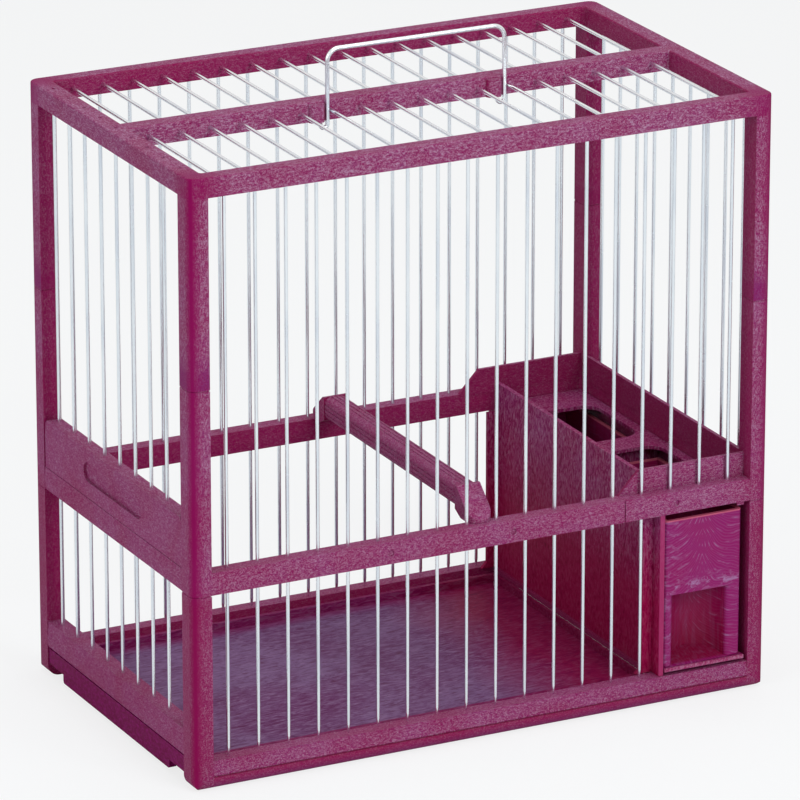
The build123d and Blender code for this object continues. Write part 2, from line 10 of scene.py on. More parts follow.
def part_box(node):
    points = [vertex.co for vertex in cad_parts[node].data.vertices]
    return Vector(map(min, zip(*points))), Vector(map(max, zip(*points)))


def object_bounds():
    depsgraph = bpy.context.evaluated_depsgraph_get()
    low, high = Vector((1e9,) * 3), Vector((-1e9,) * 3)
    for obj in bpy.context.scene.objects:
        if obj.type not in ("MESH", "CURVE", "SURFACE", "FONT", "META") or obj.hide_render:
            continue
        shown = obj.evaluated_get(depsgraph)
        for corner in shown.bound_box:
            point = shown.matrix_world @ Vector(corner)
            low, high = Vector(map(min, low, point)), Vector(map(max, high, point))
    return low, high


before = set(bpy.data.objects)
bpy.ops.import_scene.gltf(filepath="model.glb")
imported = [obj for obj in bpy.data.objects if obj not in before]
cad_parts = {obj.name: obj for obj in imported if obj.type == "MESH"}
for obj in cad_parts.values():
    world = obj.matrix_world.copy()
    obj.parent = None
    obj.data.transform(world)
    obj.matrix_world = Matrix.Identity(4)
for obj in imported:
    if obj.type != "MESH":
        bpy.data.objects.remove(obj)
cad_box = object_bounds()

bl_info = {
    "name": "Show Cage",
    "version": (1, 0, 0),
    "blender": (4, 5, 0),
    "location": "View3D > Sidebar > Show Cage",
    "description": "Finishes and stage for a moulded and wired show cage",
    "category": "Object",
}

FRAME_NODES = ("bottom_frame", "middle_frame", "roof_frame")
PANEL_NODES = ("feeder_divider", "drawer_partition", "feeder_deck")
DRAWER_NODES = ("front_drawer", "back_drawer")
WIRE_ROWS = (
    "front_wires",
    "front_short_wires",
    "back_wires",
    "back_short_wires",
    "right_end_wires",
    "left_end_wires",
    "roof_wires",
    "door_wires",
)
MILLIMETRES = 1000.0

# Half the picture's width and the lens distance that goes with it, in pixels of the photograph
HALF_PICTURE = 400.0
FOCAL_LENGTH = 6802.8

# Sizes of the cage in millimetres, measured from the frame or as the moulded parts have them
HALF_WIDTH = MILLIMETRES * cad_box[1][0]
HALF_DEPTH = MILLIMETRES * cad_box[1][1]
ROOF_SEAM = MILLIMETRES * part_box("roof_frame")[0][2]
DRAWER_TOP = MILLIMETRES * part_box("front_drawer")[1][2]
MIDDLE_LEVEL = 80.0
ROOF_LEVEL = 238.0
RIDGE_LEVEL = 5.9
SILL_LEVEL = 13.7
SILL_THICKNESS = 1.5
DRAWER_MIDDLE = 96.5
TRAY_BOARD_FACE = -122.0

# Edges between finishes and of the painted shade and highlight: each has its place and half the width over
# which it blends, in millimetres
RAIL_END_X = (HALF_WIDTH - 7.9, 0.5)
GRAIN_TURN_X = (HALF_WIDTH - 8.15, 0.15)
GRAIN_TURN_Y = (HALF_DEPTH - 10.15, 0.15)
CORNER_X = (HALF_WIDTH - 3.5, 2.0)
CORNER_Y = (HALF_DEPTH - 3.5, 2.0)
POST_X = (HALF_WIDTH - 8.0, 1.0)
POST_Y = (HALF_DEPTH - 10.0, 1.0)
LOW_POST_TOP = (MIDDLE_LEVEL - 1.5, 2.5)
SEAM_START = (ROOF_SEAM + 0.15, 0.15)
SEAM_END = (ROOF_SEAM + 11.0, 5.0)
FOOT_TOP = (RIDGE_LEVEL, 0.2)
FOOT_BLEND = (RIDGE_LEVEL / 2 + 0.25, RIDGE_LEVEL / 2 - 0.25)
ROOF_CORNER_X = (HALF_WIDTH - 12.5, 6.5)
ROOF_CORNER_Y = (HALF_DEPTH - 11.0, 5.0)
ROOF_START = (ROOF_LEVEL - 0.5, 0.5)
BASE_INSIDE_X = (HALF_WIDTH - 9.0, 0.5)
BASE_INSIDE_Y = (HALF_DEPTH - 8.0, 0.5)
BASE_INSIDE_TOP = (15.0, 1.0)
# The pale streaks of the frames grow stronger between these heights.
PALER_HEIGHTS = (60.0, 215.0)
PANEL_HEIGHTS = (42.0, 84.0)
JAMB_Y = (HALF_DEPTH - 1.35, 0.15)
DRAWER_FACE_Y = (HALF_DEPTH - 2.75, 0.75)
DRAWER_INSIDE_Z = (35.0, 15.0)
LINTEL_BOTTOM = (46.0, 2.0)
LINTEL_TOP = (51.5, 2.5)
SILL_FACE_Y = (HALF_DEPTH - 1.1, 0.1)
SILL_BOTTOM = (SILL_LEVEL, 0.1)
SILL_START = (SILL_LEVEL + 0.1, 0.1)
SILL_END = (SILL_LEVEL + SILL_THICKNESS + 0.1, 0.1)
DRAWER_RIM_HIGHLIGHT = (DRAWER_TOP - 0.5, 0.2)
TRAY_SIDE_Y = (58.5, 4.5)
TRAY_BAY_SHADE_X = (38.0, 72.0)


def linear(red, green, blue):
    """Scene-linear colour of an ordinary 0 to 255 screen colour."""
    channels = []
    for value in (red, green, blue):
        share = value / 255
        channels.append(share / 12.92 if share <= 0.04045 else ((share + 0.055) / 1.055) ** 2.4)
    return tuple(channels)


def colour_property(name, description, screen_colour):
    """A colour that a user can change, with its default given as a screen colour."""
    return FloatVectorProperty(
        name=name,
        description=description,
        subtype="COLOR",
        size=3,
        min=0.0,
        max=1.0,
        default=linear(*screen_colour),
    )


def share_property(name, description, value):
    """A plain share from 0 to 1."""
    return FloatProperty(name=name, description=description, default=value, min=0.0, max=1.0)


class PlasticSettings(bpy.types.PropertyGroup):
    """Colours and finish of the moulded plastic, with the colours of the shade painted on it."""

    deep: colour_property("Deep", "Clear magenta of the plastic without streaks", (142, 6, 84))
    mid: colour_property("Middle", "Usual magenta of the plastic", (146, 38, 104))
    violet: colour_property("Violet", "Smooth purple beside the joins of the frames", (130, 34, 104))
    pale: colour_property("Pale", "Greyish pink of the mixed-in streaks", (190, 152, 180))
    smoke: colour_property("Smoke", "Bluish grey of the dullest streaks", (112, 84, 118))
    red: colour_property("Red", "Redder magenta along the foot of the base", (150, 24, 66))
    # Inside is painted shade on inward faces and inside the base; the lower corner posts are darkened with it
    # too.
    inside: colour_property("Inside", "Clear dark magenta of inward faces", (140, 8, 72))
    # Shadow paints a thin line of shade along the ridge of the base rail, and also colours the dark grain
    # streaks of the panels.
    shadow: colour_property("Shadow", "Darkest magenta, in creases", (84, 4, 34))
    # Painted shade: the panels darken to red magenta towards the floor.
    low_panel_shade: colour_property("Low panel", "Red magenta of the panels near the floor", (154, 2, 70))
    jamb: colour_property("Jamb", "Pink edges of the panels beside the drawers", (170, 56, 108))
    roughness: share_property("Roughness", "Finish of the faces", 0.5)


class DrawerSettings(bpy.types.PropertyGroup):
    """Colours of the food drawers."""

    face_red: colour_property("Face red", "Redder patches of the outer faces", (148, 16, 86))
    face_violet: colour_property("Face violet", "Bluer patches of the outer faces", (142, 28, 112))
    # Painted shade: behind its front face the drawer is deep magenta, darker lower down.
    inside_top: colour_property("Inside top", "Magenta of the upper inside", (148, 8, 80))
    inside_low: colour_property("Inside low", "Dark magenta of the lower inside", (132, 4, 56))
    feather: colour_property("Feather", "Pale flow marks", (176, 132, 178))
    # Greyish upright streaks on the drawer's inside.
    inside_grey: colour_property("Streaking", "Greyish upright marks inside", (140, 80, 122))
    sill_red: colour_property("Sill red", "Magenta of the sill", (150, 34, 88))
    sill_pale: colour_property("Sill pale", "Pale specks of the sill", (186, 120, 150))
    # Painted shade in the gap under the sill.
    under_sill_shade: colour_property("Underside", "Dark gap under the sill", (84, 4, 34))
    # Painted highlight: a light pink line along the drawer's upper rim.
    rim: colour_property("Rim", "Light pink of the upper rim", (214, 104, 130))


class TraySettings(bpy.types.PropertyGroup):
    """Colours of the cleaning tray."""

    floor: colour_property("Floor", "Bluish purple of the tray", (104, 44, 100))
    # A grey haze in large patches over the tray floor.
    haze: colour_property("Haze", "Grey haze of the worn floor", (124, 88, 134))
    # Painted shade and reflection of the divider, near the feeder bay.
    warm: colour_property("Warm", "Dark magenta near the feeder bay", (132, 8, 66))
    rim: colour_property("Rim", "Magenta along the tray's side rims", (134, 18, 86))
    brush_light: colour_property("Light brush marks", "Palest brush marks", (150, 118, 156))
    brush_dark: colour_property("Dark brush marks", "Darkest brush marks", (88, 6, 62))
    board: colour_property("Board", "Magenta of the front board", (138, 12, 100))
    board_deep: colour_property("Board deep", "Darker patches of the front board", (112, 0, 66))


class WireSettings(bpy.types.PropertyGroup):
    """Colour and finish of the zinc plated wire."""

    zinc: colour_property("Zinc", "Bright plating", (246, 248, 250))
    shade: colour_property("Shade", "Duller stretches of the plating", (226, 231, 238))
    roughness: share_property("Roughness", "Finish of the wire", 0.24)


class StageSettings(bpy.types.PropertyGroup):
    """Camera, floor and light levels."""

    azimuth: FloatProperty(
        name="Azimuth",
        description="Camera's turn from the front",
        subtype="ANGLE",
        default=radians(-26.762),
    )
    elevation: FloatProperty(
        name="Elevation",
        description="Camera's height angle",
        subtype="ANGLE",
        default=radians(19.244),
    )
    distance: FloatProperty(
        name="Distance",
        description="From the camera to its aim",
        unit="LENGTH",
        default=2.6758,
    )
    aim: FloatVectorProperty(
        name="Aim",
        description="Point in the middle of the picture",
        subtype="XYZ",
        unit="LENGTH",
        size=3,
        default=(-0.00075, -0.00162, 0.11789),
    )
    view_angle: FloatProperty(
        name="View angle",
        description="Width of the picture",
        subtype="ANGLE",
        default=2 * atan(HALF_PICTURE / FOCAL_LENGTH),
    )
    key_power: FloatProperty(
        name="Key light", description="Power of the large front lamp", unit="POWER", default=17.0
    )
    side_power: FloatProperty(
        name="Side light", description="Power of the left lamp", unit="POWER", default=7.0
    )
    top_power: FloatProperty(
        name="Top light", description="Power of the overhead lamp", unit="POWER", default=9.0
    )
    world_light: FloatProperty(
        name="Surroundings", description="Strength of the soft light all round", default=0.38, min=0.0
    )
    floor_glow: share_property("Floor glow", "Share of the floor that the camera sees as plain white", 0.78)


class Shader:
    """A material under construction: adds nodes, links them and keeps the surface shader at hand."""

    def __init__(self, name):
        self.material = bpy.data.materials.new(name)
        self.material.use_nodes = True
        self.tree = self.material.node_tree
        self.surface = self.tree.nodes["Principled BSDF"]

    def add(self, kind, **values):
        """A new node, with its plain properties set."""
        node = self.tree.nodes.new(kind)
        for key, value in values.items():
            setattr(node, key, value)
        return node

    def feed(self, target, source):
        """Links an output to an input, or sets the input where the source is a plain value."""
        if isinstance(source, bpy.types.NodeSocket):
            self.tree.links.new(source, target)
        else:
            target.default_value = source

    def place(self, scale=(1.0, 1.0, 1.0), turn=(0.0, 0.0, 0.0)):
        """Millimetre coordinates fixed to the piece, stretched by a scale."""
        where = self.add("ShaderNodeTexCoord")
        mapping = self.add("ShaderNodeMapping")
        mapping.inputs["Scale"].default_value = [MILLIMETRES * share for share in scale]
        mapping.inputs["Rotation"].default_value = turn
        self.feed(mapping.inputs["Vector"], where.outputs["Object"])
        return mapping.outputs["Vector"]

    def along(self, axis):
        """One coordinate in millimetres."""
        split = self.add("ShaderNodeSeparateXYZ")
        self.feed(split.inputs["Vector"], self.place())
        return split.outputs[axis]

    def beyond(self, axis, edge):
        """1 further than an edge from the cage's middle plane, on either side, and 0 nearer."""
        place, blend = edge
        return self.ramp(self.maths("ABSOLUTE", self.along(axis)), place - blend, place + blend)

    def within(self, axis, edge):
        """1 nearer than an edge to the cage's middle plane, on either side, and 0 further."""
        place, blend = edge
        return self.ramp(self.maths("ABSOLUTE", self.along(axis)), place + blend, place - blend)

    def above(self, edge):
        """1 above a level and 0 below it."""
        place, blend = edge
        return self.ramp(self.along("Z"), place - blend, place + blend)

    def below(self, edge):
        """1 below a level and 0 above it."""
        place, blend = edge
        return self.ramp(self.along("Z"), place + blend, place - blend)

    def noise(self, vector, scale, detail=4.0, roughness=0.55, distortion=0.0):
        """Cloudy values from 0 to 1."""
        node = self.add("ShaderNodeTexNoise")
        self.feed(node.inputs["Vector"], vector)
        node.inputs["Scale"].default_value = scale
        node.inputs["Detail"].default_value = detail
        node.inputs["Roughness"].default_value = roughness
        node.inputs["Distortion"].default_value = distortion
        return node.outputs["Fac"]

    def ramp(self, value, low, high, out_low=0.0, out_high=1.0):
        """Stretches the span from low to high over the span from out_low to out_high."""
        if low > high:
            low, high, out_low, out_high = high, low, out_high, out_low
        node = self.add("ShaderNodeMapRange", clamp=True)
        self.feed(node.inputs["Value"], value)
        limits = {"From Min": low, "From Max": high, "To Min": out_low, "To Max": out_high}
        for name, number in limits.items():
            node.inputs[name].default_value = number
        return node.outputs["Result"]

    def mix(self, amount, first, second):
        """Mixes two colours."""
        node = self.add("ShaderNodeMix", data_type="RGBA", clamp_factor=True)
        self.feed(node.inputs[0], amount)
        for socket, source in ((node.inputs[6], first), (node.inputs[7], second)):
            self.feed(socket, source if isinstance(source, bpy.types.NodeSocket) else (*source, 1.0))
        return node.outputs[2]

    def maths(self, kind, first, second=0.0, third=0.0):
        """One step of arithmetic."""
        node = self.add("ShaderNodeMath", operation=kind)
        for socket, source in zip(node.inputs, (first, second, third)):
            self.feed(socket, source)
        return node.outputs[0]

    def product(self, *values):
        """All the values multiplied together."""
        result, *rest = values
        for value in rest:
            result = self.maths("MULTIPLY", result, value)
        return result

    def most(self, *values):
        """The largest of the values."""
        result, *rest = values
        for value in rest:
            result = self.maths("MAXIMUM", result, value)
        return result

    def less(self, value):
        """What a share leaves of the whole."""
        return self.maths("SUBTRACT", 1.0, value)

    def tint(self, body, colour, *shares):
        """Lays a colour over another, as strongly as the product of the shares."""
        return self.mix(self.product(*shares), body, colour)

    def between(self, amount, first, second):
        """Mixes two plain values."""
        node = self.add("ShaderNodeMix", data_type="FLOAT")
        for place, source in ((0, amount), (2, first), (3, second)):
            self.feed(node.inputs[place], source)
        return node.outputs[0]

    def sideways(self):
        """1 on faces that look out of the cage's ends, 0 on the front, back and level faces."""
        split = self.add("ShaderNodeSeparateXYZ")
        self.feed(split.inputs["Vector"], self.add("ShaderNodeTexCoord").outputs["Normal"])
        return self.ramp(self.maths("ABSOLUTE", split.outputs["X"]), 0.6, 0.9)

    def inward(self):
        """1 on faces that look towards the cage's upright middle line, 0 on the others."""
        where = self.add("ShaderNodeTexCoord")
        flat = self.add("ShaderNodeVectorMath", operation="MULTIPLY")
        self.feed(flat.inputs[0], where.outputs["Object"])
        flat.inputs[1].default_value = (MILLIMETRES, MILLIMETRES, 0.0)
        facing = self.add("ShaderNodeVectorMath", operation="DOT_PRODUCT")
        self.feed(facing.inputs[0], flat.outputs["Vector"])
        self.feed(facing.inputs[1], where.outputs["Normal"])
        return self.ramp(facing.outputs["Value"], -10.0, -30.0, 0.0, 1.0)

    def warp(self, vector, scale, reach):
        """Coordinates pushed about by a cloudy field, for swirls."""
        field = self.add("ShaderNodeTexNoise")
        self.feed(field.inputs["Vector"], vector)
        field.inputs["Scale"].default_value = scale
        field.inputs["Detail"].default_value = 2.0
        push = self.add("ShaderNodeVectorMath", operation="MULTIPLY_ADD")
        self.feed(push.inputs[0], field.outputs["Color"])
        push.inputs[1].default_value = (reach, reach, reach)
        self.feed(push.inputs[2], vector)
        return push.outputs["Vector"]

    def bump(self, value, depth, strength):
        """Relief of a given depth in metres."""
        node = self.add("ShaderNodeBump")
        node.inputs["Strength"].default_value = strength
        node.inputs["Distance"].default_value = depth
        self.feed(node.inputs["Height"], value)
        self.feed(self.surface.inputs["Normal"], node.outputs["Normal"])

    def colour(self, source):
        """Sets the base colour."""
        self.feed(self.surface.inputs["Base Color"], source)

    def rough(self, source):
        """Sets the roughness."""
        self.feed(self.surface.inputs["Roughness"], source)

    def shine(self, amount):
        """Sets the strength of the highlights."""
        self.surface.inputs["Specular IOR Level"].default_value = amount


def fibres(shader):
    """Fine flow lines: upright on the posts, along Y on the end rails and along X elsewhere."""
    rows = []
    for axis in range(3):
        stretch = [1.0, 1.0, 1.0]
        stretch[axis] = 0.42
        place = shader.warp(shader.place(stretch), scale=0.5, reach=0.9)
        rows.append(shader.noise(place, scale=1.5, detail=5.0, roughness=0.8, distortion=0.2))
    end = shader.beyond("X", GRAIN_TURN_X)
    post = shader.product(end, shader.beyond("Y", GRAIN_TURN_Y))
    return shader.between(post, shader.between(end, rows[0], rows[1]), rows[2])


def frame_areas(shader):
    """Areas of the frames with a finish of their own or with painted shade, each as a share from 0 to 1."""
    on_rail = shader.within("X", RAIL_END_X)
    base_inside = shader.product(
        shader.within("X", BASE_INSIDE_X),
        shader.within("Y", BASE_INSIDE_Y),
        shader.below(BASE_INSIDE_TOP),
    )
    return {
        "on_rail": on_rail,
        "corner": shader.product(shader.beyond("X", CORNER_X), shader.beyond("Y", CORNER_Y)),
        "low_post": shader.product(
            shader.beyond("X", POST_X), shader.beyond("Y", POST_Y), shader.below(LOW_POST_TOP)
        ),
        "seam": shader.product(shader.above(SEAM_START), shader.below(SEAM_END)),
        "foot": shader.product(shader.below(FOOT_TOP), on_rail),
        "roof_corner": shader.product(
            shader.beyond("X", ROOF_CORNER_X), shader.beyond("Y", ROOF_CORNER_Y), shader.above(ROOF_START)
        ),
        "inner": shader.most(shader.inward(), base_inside),
    }


def marbled(name, settings):
    """Mixed-in plastic: fine pale and dull flow lines over magenta, clearer at the corners and joins, with
    painted shade on inward faces, on the end faces and inside the base, and a painted dark line along the
    ridge of the base rail.
    """
    shader = Shader(name)
    place = shader.place()
    flow = fibres(shader)
    cloud = shader.noise(place, scale=0.035, detail=4.0, roughness=0.6, distortion=0.8)
    grain = shader.noise(place, scale=2.2, detail=3.0, roughness=0.75)
    specks = shader.noise(place, scale=2.6, detail=2.0, roughness=0.5)
    area = frame_areas(shader)
    # Streaks are fewer at the corners, joins and foot, and, as painted shade, on inward faces and on the end
    # faces.
    clear = shader.most(
        area["corner"],
        shader.product(area["low_post"], 0.35),
        shader.product(area["roof_corner"], 0.75),
        shader.product(area["inner"], 0.72),
        shader.product(shader.sideways(), 0.2),
        shader.product(area["seam"], 0.85),
        shader.product(area["foot"], 0.7),
    )
    streaky = shader.less(clear)
    body = shader.mix(shader.ramp(cloud, 0.38, 0.62), settings.deep, settings.mid)
    body = shader.tint(body, settings.violet, area["seam"], 0.8)
    body = shader.tint(body, settings.deep, area["corner"], 0.8)
    # Painted shade: the inward faces and the inside of the base take the dark inside magenta; the lower
    # corner posts are darkened with it too.
    body = shader.tint(body, settings.inside, area["low_post"], 0.6)
    body = shader.tint(body, settings.inside, area["inner"], 0.75)
    red_foot = shader.mix(shader.above(FOOT_BLEND), settings.violet, settings.red)
    body = shader.tint(body, red_foot, area["foot"], 0.75)
    lines = shader.product(shader.ramp(flow, 0.46, 0.62), shader.ramp(cloud, 0.25, 0.6, 0.55, 1.0))
    # Pale streaks stronger higher up.
    paler = shader.product(streaky, shader.ramp(shader.along("Z"), *PALER_HEIGHTS, 0.55, 1.0))
    body = shader.tint(body, settings.pale, lines, paler)
    body = shader.tint(body, settings.smoke, shader.ramp(flow, 0.47, 0.34), streaky, 0.4)
    body = shader.tint(body, settings.pale, shader.ramp(grain, 0.53, 0.62), streaky, 0.6)
    body = shader.tint(body, settings.deep, shader.ramp(specks, 0.48, 0.36), 0.85)
    # Painted shade: a thin dark line along the ridge of the base rail.
    from_ridge = shader.maths("ABSOLUTE", shader.maths("SUBTRACT", shader.along("Z"), RIDGE_LEVEL))
    crease = shader.ramp(from_ridge, 0.5, 0.15, 0.0, 0.7)
    body = shader.tint(body, settings.shadow, crease, area["on_rail"])
    shader.colour(body)
    shader.rough(shader.ramp(flow, 0.3, 0.7, settings.roughness - 0.08, settings.roughness + 0.12))
    shader.shine(0.06)
    shader.bump(shader.maths("ADD", grain, flow), depth=0.0003, strength=0.6)
    return shader


def brushed(name, settings):
    """Plastic with fine brushed streaks, as on the panels inside, with painted shade towards the floor:
    redder and darker there, with fainter pale streaks.
    """
    shader = Shader(name)
    slanted = shader.warp(shader.place((1.0, 0.8, 0.3), (radians(24), 0.0, 0.0)), scale=0.2, reach=2.0)
    streaks = shader.noise(slanted, scale=1.25, detail=5.0, roughness=0.75, distortion=0.4)
    cloud = shader.noise(shader.place(), scale=0.05, detail=3.0)
    high = shader.ramp(shader.along("Z"), *PANEL_HEIGHTS)
    body = shader.mix(shader.ramp(cloud, 0.35, 0.65), settings.deep, settings.mid)
    # Painted shade: redder, darker magenta towards the floor, where the pale streaks also fade.
    body = shader.tint(body, settings.low_panel_shade, shader.less(high))
    lines = shader.ramp(streaks, 0.46, 0.68)
    body = shader.tint(body, settings.pale, lines, shader.ramp(high, 0.0, 1.0, 0.12, 0.6))
    # Dark grain streaks of the panels, in the darkest magenta.
    body = shader.tint(body, settings.shadow, shader.ramp(streaks, 0.48, 0.36), 0.6)
    body = shader.tint(body, settings.jamb, shader.beyond("Y", JAMB_Y), 0.8)
    shader.colour(body)
    shader.rough(shader.ramp(streaks, 0.3, 0.7, 0.46, 0.6))
    shader.shine(0.06)
    shader.bump(streaks, depth=0.00018, strength=0.5)
    return shader


def flow_phase(shader, across):
    """Height in millimetres bent up at the drawer's middle line, so that its bands hang from that line."""
    peak = shader.maths("EXPONENT", shader.product(shader.maths("ABSOLUTE", across), -0.2))
    rise = shader.maths("MULTIPLY_ADD", peak, -15.0, shader.along("Z"))
    wobble = shader.noise(shader.place(), scale=0.06, detail=2.0)
    return shader.maths("MULTIPLY_ADD", wobble, 9.0, rise)


def bands(shader, phase, pitch, low):
    """Bright bands along a phase, where its wave stands above a low value."""
    return shader.ramp(shader.maths("SINE", shader.product(phase, pitch)), low, 1.0)


def feathered(name, settings):
    """Glossy plastic with pale feathered flow marks down each side of a middle line, as on the drawers, with
    painted shade behind the front face and under the sill, and a painted highlight along the upper rim.
    """
    shader = Shader(name)
    place = shader.place()
    across = shader.maths("SUBTRACT", shader.along("X"), DRAWER_MIDDLE)
    phase = flow_phase(shader, across)
    wave = bands(shader, phase, pitch=1.9, low=0.55)
    fine = bands(shader, phase, pitch=5.3, low=0.2)
    gaps = shader.noise(shader.place((0.5, 1.0, 1.6)), scale=0.22, detail=4.0, roughness=0.6)
    blots = shader.noise(
        shader.place((0.7, 1.0, 1.5)), scale=0.3, detail=5.0, roughness=0.7, distortion=0.6
    )
    face = shader.beyond("Y", DRAWER_FACE_Y)
    outside = shader.mix(shader.noise(place, scale=0.05, detail=3.0), settings.face_red, settings.face_violet)
    # Painted shade: behind the front face, deep magenta darker lower down, with fainter flow marks.
    inside = shader.mix(shader.below(DRAWER_INSIDE_Z), settings.inside_top, settings.inside_low)
    body = shader.mix(face, inside, outside)
    left = shader.ramp(across, -4.0, -15.0, 0.0, 1.0)
    lintel = shader.product(shader.above(LINTEL_BOTTOM), shader.below(LINTEL_TOP))
    marks = shader.most(
        shader.product(wave, shader.ramp(gaps, 0.46, 0.64), 0.62),
        shader.product(fine, 0.14),
        shader.product(shader.ramp(blots, 0.5, 0.66), shader.most(shader.product(left, 0.75), lintel)),
    )
    body = shader.tint(body, settings.feather, marks, shader.ramp(face, 0.0, 1.0, 0.3, 0.8))
    # Greyish upright streaks behind the front face.
    upright = shader.place((1.0, 1.0, 0.1))
    upright_streaks = shader.noise(upright, scale=0.5, detail=5.0, roughness=0.7, distortion=0.4)
    body = shader.tint(body, settings.inside_grey, shader.ramp(upright_streaks, 0.46, 0.66), shader.less(face), 0.26)
    # Painted shade: the gap under the sill darkened.
    body = shader.tint(body, settings.under_sill_shade, shader.below(SILL_BOTTOM))
    sill = shader.product(shader.above(SILL_START), shader.below(SILL_END), shader.beyond("Y", SILL_FACE_Y))
    specks = shader.ramp(shader.noise(place, scale=1.3, detail=4.0, roughness=0.7), 0.42, 0.62)
    body = shader.tint(body, shader.mix(specks, settings.sill_red, settings.sill_pale), sill, 0.8)
    # Painted highlight along the upper rim.
    body = shader.tint(body, settings.rim, shader.above(DRAWER_RIM_HIGHLIGHT), 0.8)
    shader.colour(body)
    shader.rough(shader.ramp(wave, 0.0, 1.0, 0.34, 0.46))
    shader.shine(0.14)
    shader.bump(wave, depth=0.00012, strength=0.35)
    return shader


def hazy(name, settings):
    """Purple plastic with brush marks and a grey haze, dark magenta on its rim, and painted shade and
    reflection of the divider in dark magenta near the feeder bay.
    """
    shader = Shader(name)
    slanted = shader.warp(shader.place((0.22, 1.0, 1.0), (0.0, 0.0, radians(-38))), scale=0.12, reach=5.0)
    marks = shader.noise(slanted, scale=0.9, detail=5.0, roughness=0.74, distortion=0.6)
    haze = shader.noise(shader.place(), scale=0.022, detail=4.0, roughness=0.5, distortion=0.8)
    side = shader.beyond("Y", TRAY_SIDE_Y)
    # Painted shade and reflection of the divider: dark magenta towards the feeder bay, where the pale brush
    # marks also fade.
    bay_shade = shader.ramp(shader.maths("MULTIPLY_ADD", haze, 40.0, shader.along("X")), *TRAY_BAY_SHADE_X)
    warm = shader.most(shader.product(side, 0.9), bay_shade)
    body = shader.mix(shader.ramp(haze, 0.36, 0.62), settings.floor, settings.haze)
    body = shader.tint(body, settings.rim, side)
    body = shader.tint(body, settings.warm, bay_shade)
    light = shader.ramp(marks, 0.48, 0.64)
    body = shader.tint(body, settings.brush_light, light, shader.ramp(warm, 0.0, 1.0, 0.75, 0.22))
    body = shader.tint(body, settings.brush_dark, shader.ramp(marks, 0.48, 0.36), 0.7)
    mottle = shader.noise(
        shader.place((1.0, 0.5, 1.0)), scale=0.9, detail=5.0, roughness=0.75, distortion=0.3
    )
    board = shader.mix(shader.ramp(mottle, 0.42, 0.62), settings.board_deep, settings.board)
    on_board = shader.ramp(shader.along("X"), TRAY_BOARD_FACE + 0.5, TRAY_BOARD_FACE - 0.5)
    body = shader.tint(body, board, on_board)
    shader.colour(body)
    shader.rough(shader.ramp(marks, 0.3, 0.7, 0.42, 0.56))
    shader.shine(0.06)
    shader.bump(marks, depth=0.00015, strength=0.4)
    return shader


def zinc(name, settings):
    """Bright plated wire with slightly duller stretches and fine drawing marks."""
    shader = Shader(name)
    clouds = shader.noise(shader.place(), scale=0.03, detail=3.0, roughness=0.5)
    shader.colour(shader.mix(shader.ramp(clouds, 0.4, 0.7), settings.zinc, settings.shade))
    shader.rough(shader.ramp(clouds, 0.3, 0.7, settings.roughness - 0.04, settings.roughness + 0.06))
    shader.surface.inputs["Metallic"].default_value = 1.0
    drawing = shader.noise(shader.place((1.0, 1.0, 0.05)), scale=4.0, detail=2.0)
    shader.bump(drawing, depth=0.00001, strength=0.2)
    return shader


def dress(node, shader):
    """Gives every material slot of a CAD node one finish."""
    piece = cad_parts[node]
    if not piece.data.materials:
        piece.data.materials.append(shader.material)
    for slot in piece.material_slots:
        slot.material = shader.material


class CAGE_OT_frames(bpy.types.Operator):
    """Finish the three stacked frames in marbled plastic"""

    bl_idname = "cage.frames"
    bl_label = "Finish the frames"

    def execute(self, context):
        shader = marbled("frame_plastic", context.scene.cage_plastic)
        for node in FRAME_NODES:
            dress(node, shader)
        return {"FINISHED"}


class CAGE_OT_door(bpy.types.Operator):
    """Finish the lift door's bar"""

    bl_idname = "cage.door"
    bl_label = "Finish the door bar"

    def execute(self, context):
        dress("door_bar", marbled("door_plastic", context.scene.cage_plastic))
        return {"FINISHED"}


class CAGE_OT_perch(bpy.types.Operator):
    """Finish the perch, with its streaks along the bar"""

    bl_idname = "cage.perch"
    bl_label = "Finish the perch"

    def execute(self, context):
        dress("perch", marbled("perch_plastic", context.scene.cage_plastic))
        return {"FINISHED"}


class CAGE_OT_feeder(bpy.types.Operator):
    """Finish the divider, deck, partition and drawers of the feeder bay"""

    bl_idname = "cage.feeder"
    bl_label = "Finish the feeder bay"

    def execute(self, context):
        panel = brushed("panel_plastic", context.scene.cage_plastic)
        for node in PANEL_NODES:
            dress(node, panel)
        drawer = feathered("drawer_plastic", context.scene.cage_drawers)
        for node in DRAWER_NODES:
            dress(node, drawer)
        return {"FINISHED"}


class CAGE_OT_tray(bpy.types.Operator):
    """Finish the cleaning tray"""

    bl_idname = "cage.tray"
    bl_label = "Finish the tray"

    def execute(self, context):
        dress("cleaning_tray", hazy("tray_plastic", context.scene.cage_tray))
        return {"FINISHED"}


class CAGE_OT_wires(bpy.types.Operator):
    """Finish the rows of wire and the carrying handle"""

    bl_idname = "cage.wires"
    bl_label = "Finish the wires"

    def execute(self, context):
        shader = zinc("zinc_wire", context.scene.cage_wire)
        for node in WIRE_ROWS:
            dress(node, shader)
        dress("handle", zinc("handle_wire", context.scene.cage_wire))
        return {"FINISHED"}


def area_lamp(name, place, aim, size, power):
    """A square soft lamp that faces a point."""
    data = bpy.data.lights.new(name, "AREA")
    data.shape = "SQUARE"
    data.size = size
    data.energy = power
    lamp = bpy.data.objects.new(name, data)
    lamp.location = place
    lamp.rotation_euler = (Vector(aim) - Vector(place)).to_track_quat("-Z", "Y").to_euler()
    bpy.context.collection.objects.link(lamp)


